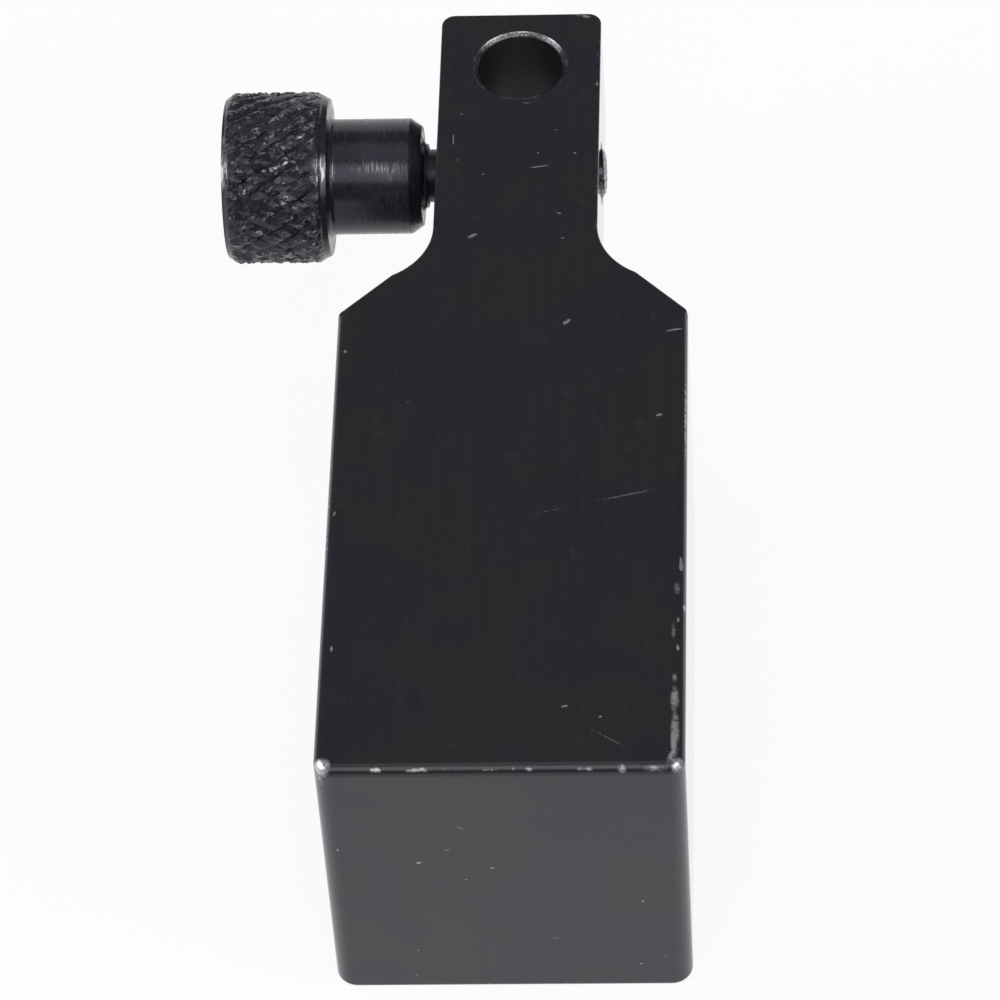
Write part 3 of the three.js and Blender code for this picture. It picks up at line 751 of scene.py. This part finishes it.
class HOLDER_OT_block(bpy.types.Operator):
    """Build the block with its neck, bore, cross bore and tapped hole"""

    bl_idname = "holder.block"
    bl_label = "Block and neck"

    def execute(self, context):
        sizes = context.scene.holder_block
        shoulder = NEAR + sizes.straight
        root_reach = 4.31 * MM  # how far the root fillets reach out from the neck
        meet_x = NECK_HALF + root_reach
        meet_y = shoulder + HALF - meet_x
        centre_x = NECK_HALF + sizes.root_radius
        centre_y = meet_y + math.sqrt(sizes.root_radius ** 2 - (centre_x - meet_x) ** 2)
        sweep = math.acos((centre_x - meet_x) / sizes.root_radius)

        # Outline from above: near end, right side, shoulder, root fillet, neck, and back on the left
        piece = start_point("holder_block", (-HALF, NEAR, 0))
        draw_through([(-HALF, NEAR, 0), (HALF, NEAR, 0), (HALF, shoulder, 0), (meet_x, meet_y, 0)])
        bpy.ops.mesh.spin(steps=18, angle=sweep, center=(centre_x, centre_y, 0), axis=(0, 0, 1))
        draw_through([(NECK_HALF, centre_y, 0), (NECK_HALF, END, 0), (-NECK_HALF, END, 0),
                      (-NECK_HALF, centre_y, 0)])
        bpy.ops.mesh.spin(steps=18, angle=sweep, center=(-centre_x, centre_y, 0), axis=(0, 0, 1))
        draw_through([(-meet_x, meet_y, 0), (-HALF, shoulder, 0), (-HALF, NEAR, 0)])
        merge_points()
        bpy.ops.mesh.edge_face_add()
        bpy.ops.mesh.extrude_region_move(TRANSFORM_OT_translate={"value": (0, 0, TOP)})
        bpy.ops.mesh.select_all(action="SELECT")
        bpy.ops.mesh.normals_make_consistent(inside=False)

        # What is milled away under the neck, with a fillet in its corner
        under = TOP - sizes.neck_depth
        step_fillet = 4 * MM
        object_mode()
        depth = END + MM - meet_y
        bpy.ops.mesh.primitive_cube_add(
            size=1, location=(0, meet_y + depth / 2, (under - MM) / 2),
            scale=(2 * HALF + 2 * MM, depth, under + MM))
        tool = context.object
        bpy.ops.object.transform_apply(location=True, rotation=True, scale=True)
        edit(tool, "EDGE")
        pick("EDGE", lambda e: all(
            abs(v.co.y - meet_y) < CLOSE and abs(v.co.z - under) < CLOSE for v in e.verts))
        bpy.ops.mesh.bevel(offset=step_fillet, segments=14, affect="EDGES")
        cut(piece, tool)

        # Upright corners are rounded first, so that the rims above and below run round them
        def level(edge, height):
            return all(abs(v.co.z - height) < CLOSE for v in edge.verts)

        def upright(edge):
            a, b = edge.verts
            return abs(a.co.x - b.co.x) < CLOSE and abs(a.co.y - b.co.y) < CLOSE

        def at(edge, x=None, y=None):
            """Whether an edge lies at this distance from the middle plane, and at this place along it."""
            beside = x is None or all(abs(abs(v.co.x) - x) < CLOSE for v in edge.verts)
            return beside and (y is None or all(abs(v.co.y - y) < CLOSE for v in edge.verts))

        round_edges(piece, [
            (sizes.upright_corner, lambda e: upright(e) and at(e, x=HALF, y=NEAR)),
            (sizes.neck_corner, lambda e: upright(e) and at(e, x=NECK_HALF, y=END)),
        ], CORNER_STEPS)

        def upper_rim(edge):
            return level(edge, TOP) and max(v.co.y for v in edge.verts) < shoulder + CLOSE

        def lower_rim(edge, low, high):
            """Whether an edge of the base starts this far from the near end."""
            reach = min(v.co.y for v in edge.verts) - NEAR
            return level(edge, 0) and low - CLOSE < reach < high - CLOSE and not at(edge, y=NEAR)

        # Along the base the bar's rounding fades out over the upright corners
        shoulder_break = 0.3 * MM
        near_part = 10 * MM  # edges of the base that start farther on belong to shoulders and neck
        rims = [(sizes.bar_corner, upper_rim)]
        rims.append((shoulder_break, lambda e: upright(e) and at(e, x=HALF, y=shoulder)))
        rims.append((sizes.fine_break, lambda e: level(e, TOP) and not upper_rim(e)))
        rims.append((sizes.bar_corner, lambda e: at(e, x=HALF) and lower_rim(e, 0, near_part)))
        quarter = math.pi / 2 / CORNER_STEPS
        arc_ends = [sizes.upright_corner * (1 - math.cos(quarter * i)) for i in range(CORNER_STEPS + 1)]
        for i in range(CORNER_STEPS):
            share = (i + 0.5) / CORNER_STEPS
            fade = sizes.fine_break + (sizes.bar_corner - sizes.fine_break) * share
            rims.append((fade, lambda e, i=i: lower_rim(e, arc_ends[i], arc_ends[i + 1])
                         and not at(e, x=HALF)))
        rims.append((sizes.fine_break, lambda e: level(e, 0) and (
            at(e, y=NEAR) or min(v.co.y for v in e.verts) - NEAR > near_part)))
        rims.append((sizes.fine_break, lambda e: level(e, under) and not at(e, y=meet_y + step_fillet)
                     and max(v.co.y for v in e.verts) > centre_y))
        round_edges(piece, rims, 6)

        # Stem bore with a chamfer at each mouth
        chamfer = sizes.bore_chamfer
        past = MM
        mouth = BORE_RADIUS + chamfer + past
        cut(piece, turned_upright("stem_bore", [
            (under - past, 0), (under - past, mouth), (under + chamfer, BORE_RADIUS),
            (TOP - chamfer, BORE_RADIUS), (TOP + past, mouth), (TOP + past, 0)], 128))

        # Cross bore for the plug, then the tapped hole through to the right
        wide = 6.25 * MM
        wide_chamfer = 0.4 * MM
        tapped = 3.35 * MM
        tapped_chamfer = 0.25 * MM
        depth_end = 3.6 * MM
        cut(piece, turned_on_screw("cross_bore", [
            (-NECK_HALF - past, 0), (-NECK_HALF - past, wide + wide_chamfer + past),
            (-NECK_HALF + wide_chamfer, wide), (depth_end, wide), (depth_end, tapped),
            (NECK_HALF - tapped_chamfer, tapped), (NECK_HALF + past, tapped + tapped_chamfer + past),
            (NECK_HALF + past, 0)], 96))
        smooth(piece, 30)
        finish_piece(piece, "holder_body", "holder", blackened_steel_body())
        return {"FINISHED"}


class HOLDER_OT_knob(bpy.types.Operator):
    """Build the knurled knob with its hub and nose"""

    bl_idname = "holder.knob"
    bl_label = "Knurled knob"

    def execute(self, context):
        sizes = context.scene.holder_screw
        left = KNOB_LOW.x
        nose_end = KNOB_HIGH.x
        nose_length = 0.65 * MM
        hub_end = nose_end - nose_length
        head_right = hub_end - sizes.hub_length
        hub = sizes.hub_diameter / 2
        hub_chamfer = 0.9 * MM
        hub_chamfer_length = 1.3 * MM
        left_chamfer = 0.8 * MM
        right_chamfer = 0.9 * MM
        hole = 3.255 * MM
        nose = hole + 0.3 * MM
        floor = STUD_LOW.x - 0.28 * MM
        knurl_left = left + MM
        knurl_right = head_right - 1.4 * MM
        run_out = 0.3 * MM
        # Grooves at 33 degrees to the axis: how far along they run while they go round by half a tooth
        half_tooth = math.pi * CREST / sizes.knurl_teeth
        rows = 2 * round((knurl_right - knurl_left) * math.tan(math.radians(33)) / half_tooth)
        columns = 4 * sizes.knurl_teeth

        profile = [(left, 0), (left, CREST - left_chamfer), (knurl_left - run_out, CREST - run_out)]
        profile += [(knurl_left + (knurl_right - knurl_left) * i / rows, CREST) for i in range(rows + 1)]
        profile += [(knurl_right + run_out, CREST - run_out), (head_right, CREST - right_chamfer)]
        root = 0.7 * MM
        profile += [(head_right, hub + root)]
        profile += arc(head_right + root, hub + root, root, -180, -90, 8)[1:]
        # The hub's end runs into its nose in a hollow curve
        hollow = 1.1 * MM
        profile += [(hub_end - hub_chamfer_length, hub), (hub_end, hub - hub_chamfer)]
        profile.append((hub_end, nose + hollow))
        for i in range(1, 11):
            turn = math.pi / 20 * i
            profile.append((nose_end - nose_length * math.cos(turn), nose + hollow * (1 - math.sin(turn))))
        profile += [(nose_end, hole), (floor, hole), (floor, 0)]
        piece = turned_on_screw("thumbscrew_knurled_knob", profile, columns)

        def spot(vert):
            """Row and column of the knurl that a point is in, or None."""
            if abs(from_screw(vert) - CREST) > CLOSE:
                return None
            row = (vert.co.x - knurl_left) / (knurl_right - knurl_left) * rows
            column = math.atan2(vert.co.y - SCREW_Y, vert.co.z - SCREW_Z) / math.tau * columns
            return round(row), round(column)

        # Each diamond is four rows long and four columns wide. The grooves of one helix are deep, and
        # those that cross them are shallower, so the crests stand in rows
        depths = {}
        activate(piece)
        for vert in piece.data.vertices:
            found = spot(vert)
            if found is not None:
                along_one = abs((found[0] - found[1]) % 4 - 2) / 2
                along_other = abs((found[0] + found[1]) % 4 - 2) / 2
                depths[vert.index] = max(along_one, 0.7 * along_other) * sizes.knurl_depth
        if len(depths) != (rows + 1) * columns:
            raise RuntimeError("The knurl's points were not all found")
        edit(piece)
        slope = sizes.knurl_depth / 2
        pick("VERT", lambda v: depths.get(v.index, slope) != slope)
        bpy.ops.mesh.vert_connect()
        for depth in sorted(set(depths.values()) - {0.0}):
            share = (CREST - depth) / CREST
            pick("VERT", lambda v: depths.get(v.index) == depth)
            bpy.ops.transform.resize(value=(1, share, share), center_override=(0, SCREW_Y, SCREW_Z))

        def in_knurl(vert):
            return (knurl_left - CLOSE < vert.co.x < knurl_right + CLOSE
                    and from_screw(vert) > CREST - sizes.knurl_depth - 0.1 * MM)

        # Worn crests: each high point becomes a small flat
        pick("VERT", lambda v: spot(v) is not None)
        bpy.ops.mesh.bevel(offset=sizes.knurl_flat, affect="VERTICES", segments=1)
        # Rolled knurls are uneven: every point strays a little, and those that stray outwards go back
        pick("VERT", lambda v: in_knurl(v) and knurl_left + CLOSE < v.co.x < knurl_right - CLOSE)
        bpy.ops.transform.vertex_random(offset=sizes.knurl_stray, uniform=1, normal=0, seed=4)
        for shrink in (0.99, 0.994, 0.997):
            pick("VERT", lambda v: from_screw(v) > CREST)
            bpy.ops.transform.resize(value=(1, shrink, shrink), center_override=(0, SCREW_Y, SCREW_Z))
        smooth(piece, 24)
        # The crests' rims are rubbed round, so only the valleys stay sharp
        edit(piece, "EDGE")
        pick("EDGE", lambda e: all(in_knurl(v) for v in e.verts) and any(
            from_screw(v) > CREST - 0.2 * MM for v in e.verts))
        bpy.ops.mesh.mark_sharp(clear=True)
        object_mode()
        finish = blackened_steel_knob()
        finish_piece(piece, "thumbscrew_knob", "screw_knob", finish)
        return {"FINISHED"}


class HOLDER_OT_stud(bpy.types.Operator):
    """Build the threaded stud with its domed tip"""

    bl_idname = "holder.stud"
    bl_label = "Threaded stud"

    def execute(self, context):
        sizes = context.scene.holder_screw
        crest = (STUD_HIGH.z - STUD_LOW.z) / 2
        step = 0.075 * MM  # the plain end's radius is this much smaller than the thread's
        plain = crest - step
        chamfer = 0.3 * MM
        tip = STUD_HIGH.x
        tip_chamfer = 0.8 * MM
        dome = 0.3 * MM
        thread_left = KNOB_HIGH.x + 6 * MM
        rim = crest - 0.5 * MM
        profile = [(STUD_LOW.x, 0), (STUD_LOW.x, plain - chamfer), (STUD_LOW.x + chamfer, plain),
                   (thread_left, plain), (thread_left + step, crest), (tip - tip_chamfer, crest)]
        for i in range(7):
            share = i / 6
            profile.append((tip - dome * (1 - share) ** 2, rim * math.sqrt(1 - share)))
        piece = turned_on_screw("thumbscrew_threaded_stud", profile, 64)

        # The thread's groove: a V drawn once and wound along the axis with the pitch
        past = crest + 0.1 * MM
        root = crest - 0.72 * MM
        half_mouth = 0.56 * MM
        half_root = 0.08 * MM
        groove = [(-half_mouth, past), (-half_root, root), (half_root, root), (half_mouth, past)]
        start = thread_left + 0.7 * MM
        tool = start_point("thread_groove", (start + groove[0][0], 0, groove[0][1]))
        draw_through([(start + x, 0, r) for x, r in groove + groove[:1]])
        merge_points()
        activate(tool)
        winding = tool.modifiers.new("winding", "SCREW")
        winding.axis = "X"
        winding.screw_offset = sizes.pitch
        winding.iterations = math.ceil((tip - start) / sizes.pitch) + 1
        winding.steps = 48
        winding.render_steps = 48
        bpy.ops.object.modifier_apply(modifier=winding.name)
        edit(tool)
        bpy.ops.mesh.select_all(action="SELECT")
        bpy.ops.mesh.fill_holes(sides=4)
        bpy.ops.mesh.select_all(action="SELECT")
        bpy.ops.mesh.normals_make_consistent(inside=False)
        bpy.ops.mesh.select_all(action="SELECT")
        bpy.ops.transform.translate(value=(0, SCREW_Y, SCREW_Z))
        cut(piece, tool)
        # The cut leaves very short edges, which are merged away
        edit(piece)
        merge_points(0.000004)
        smooth(piece, 35)
        finish_piece(piece, "thumbscrew_stud", "screw_stud", worn_steel_stud())
        return {"FINISHED"}


class HOLDER_OT_plug(bpy.types.Operator):
    """Build the scalloped clamp plug"""

    bl_idname = "holder.plug"
    bl_label = "Clamp plug"

    def execute(self, context):
        radius = (PLUG_HIGH.z - PLUG_LOW.z) / 2
        left = PLUG_LOW.x
        right = PLUG_HIGH.x
        hole = 3.325 * MM
        edge = 0.35 * MM
        mouth = 0.15 * MM
        piece = turned_on_screw("clamp_plug_scalloped", [
            (left, hole + mouth), (left, radius - edge), (left + edge, radius), (right - edge, radius),
            (right, radius - edge), (right, hole + mouth), (right - mouth, hole),
            (left + mouth, hole), (left, hole + mouth)], 96)
        reach = BORE_RADIUS + 0.15 * MM
        cut(piece, turned_upright("scallop", [
            (0, 0), (0, reach), (TOP + MM, reach), (TOP + MM, 0)], 128))
        edit(piece, "EDGE")
        found = pick("EDGE", lambda e: e.is_manifold and e.calc_face_angle(0) > 0.9 and all(
            abs(math.hypot(v.co.x, v.co.y - BORE_Y) - reach) < CLOSE for v in e.verts))
        if found == 0:
            raise RuntimeError("The scallop's edge was not found")
        bpy.ops.mesh.bevel(offset=0.08 * MM, segments=2, affect="EDGES")
        smooth(piece, 30)
        finish_piece(piece, "clamp_plug", "plug", bare_steel_plug())
        return {"FINISHED"}


def soft_lamp(name, place, size, power):
    """A square lamp that points at the middle of the object."""
    object_mode()
    bpy.ops.object.light_add(type="AREA", location=place)
    lamp = bpy.context.object
    lamp.name = name
    lamp.data.size = size
    lamp.data.energy = power
    aim = Vector((0, 0.02, 0.02)) - Vector(place)
    lamp.rotation_euler = aim.to_track_quat("-Z", "Y").to_euler()
    return lamp


class HOLDER_OT_stage(bpy.types.Operator):
    """Add the floor, the soft lamps and the camera"""

    bl_idname = "holder.stage"
    bl_label = "Stage"

    def execute(self, context):
        look = context.scene.holder_stage
        scene = context.scene
        object_mode()
        bpy.ops.mesh.primitive_plane_add(size=12, location=(0, 0, -0.0001))
        floor = context.object
        floor.name = "floor"
        bpy.ops.object.mode_set(mode="EDIT")
        bpy.ops.mesh.select_all(action="SELECT")
        bpy.ops.mesh.subdivide(number_cuts=3)
        object_mode()
        paper = bpy.data.materials.new("white_paper_sweep")
        paper.use_nodes = True
        tree = paper.node_tree
        tree.nodes.clear()
        lit = add(tree, "ShaderNodeBsdfDiffuse", {"Color": look.floor})
        white = add(tree, "ShaderNodeEmission", {"Color": linear("#ffffff"), "Strength": 1})
        ray = add(tree, "ShaderNodeLightPath").outputs
        seen = ray["Is Camera Ray"]
        for kind in ("Glossy", "Transmission"):
            seen = add(tree, "ShaderNodeMath", [seen, ray[f"Is {kind} Ray"]], operation="MAXIMUM")
        share = add(tree, "ShaderNodeMath", [seen, 0.91], operation="MULTIPLY")
        both = add(tree, "ShaderNodeMixShader", [share, lit, white])
        add(tree, "ShaderNodeOutputMaterial", {"Surface": both})
        floor.data.materials.append(paper)

        world = bpy.data.worlds.new("studio")
        world.use_nodes = True
        background = world.node_tree.nodes["Background"].inputs
        background["Color"].default_value = (*linear("#ffffff"), 1)
        background["Strength"].default_value = 0.18
        scene.world = world

        soft_lamp("front_lamp", (0.02, -0.56, 0.9), 0.7, look.key)
        soft_lamp("left_lamp", (-0.88, -0.05, 0.52), 0.8, look.side)
        soft_lamp("right_lamp", (0.82, -0.45, 0.55), 0.8, look.side)
        soft_lamp("upper_lamp", (0, 0.22, 1.2), 0.75, look.above)
        soft_lamp("back_lamp", (-0.15, 1.1, 0.3), 0.6, look.behind)

        data = bpy.data.cameras.new("camera")
        camera = bpy.data.objects.new("camera", data)
        scene.collection.objects.link(camera)
        data.lens = look.lens
        data.sensor_width = 36
        data.sensor_fit = "HORIZONTAL"
        data.clip_start = 0.01
        # Where the camera is and how it is turned, as fitted to the edges of the block and the bore
        forward = Vector((-0.05183, 0.63833, -0.76801)).normalized()
        right = Vector((0.9986, 0.02472, -0.04685)).normalized()
        up = right.cross(forward)
        turn = Matrix((right, up, -forward)).transposed()
        camera.matrix_world = Matrix.Translation(Vector((31.2, -388.2, 510.7)) * MM) @ turn.to_4x4()
        scene.camera = camera
        scene.view_settings.view_transform = "Standard"
        return {"FINISHED"}


class HOLDER_PT_sidebar(bpy.types.Panel):
    """Sizes and colours of the holder, and a button for each piece"""

    bl_idname = "HOLDER_PT_sidebar"
    bl_label = "Indicator holder"
    bl_space_type = "VIEW_3D"
    bl_region_type = "UI"
    bl_category = "Indicator holder"

    def draw(self, context):
        layout = self.layout
        groups = (
            ("holder_block", ("holder.block",)),
            ("holder_screw", ("holder.knob", "holder.stud", "holder.plug")),
            ("holder_stage", ("holder.stage",)),
        )
        for group, buttons in groups:
            box = layout.box()
            settings = getattr(context.scene, group)
            for name in settings.__annotations__:
                box.prop(settings, name)
            for button in buttons:
                box.operator(button)


CLASSES = (
    HolderBlockSettings,
    HolderScrewSettings,
    HolderStageSettings,
    HOLDER_OT_block,
    HOLDER_OT_knob,
    HOLDER_OT_stud,
    HOLDER_OT_plug,
    HOLDER_OT_stage,
    HOLDER_PT_sidebar,
)


def register():
    for kind in CLASSES:
        bpy.utils.register_class(kind)
    bpy.types.Scene.holder_block = bpy.props.PointerProperty(type=HolderBlockSettings)
    bpy.types.Scene.holder_screw = bpy.props.PointerProperty(type=HolderScrewSettings)
    bpy.types.Scene.holder_stage = bpy.props.PointerProperty(type=HolderStageSettings)


def unregister():
    del bpy.types.Scene.holder_stage
    del bpy.types.Scene.holder_screw
    del bpy.types.Scene.holder_block
    for kind in reversed(CLASSES):
        bpy.utils.unregister_class(kind)


def main():
    """Build every piece and the stage."""
    register()
    bpy.ops.holder.block()
    bpy.ops.holder.knob()
    bpy.ops.holder.stud()
    bpy.ops.holder.plug()
    bpy.ops.holder.stage()


if __name__ == "__main__":
    main()
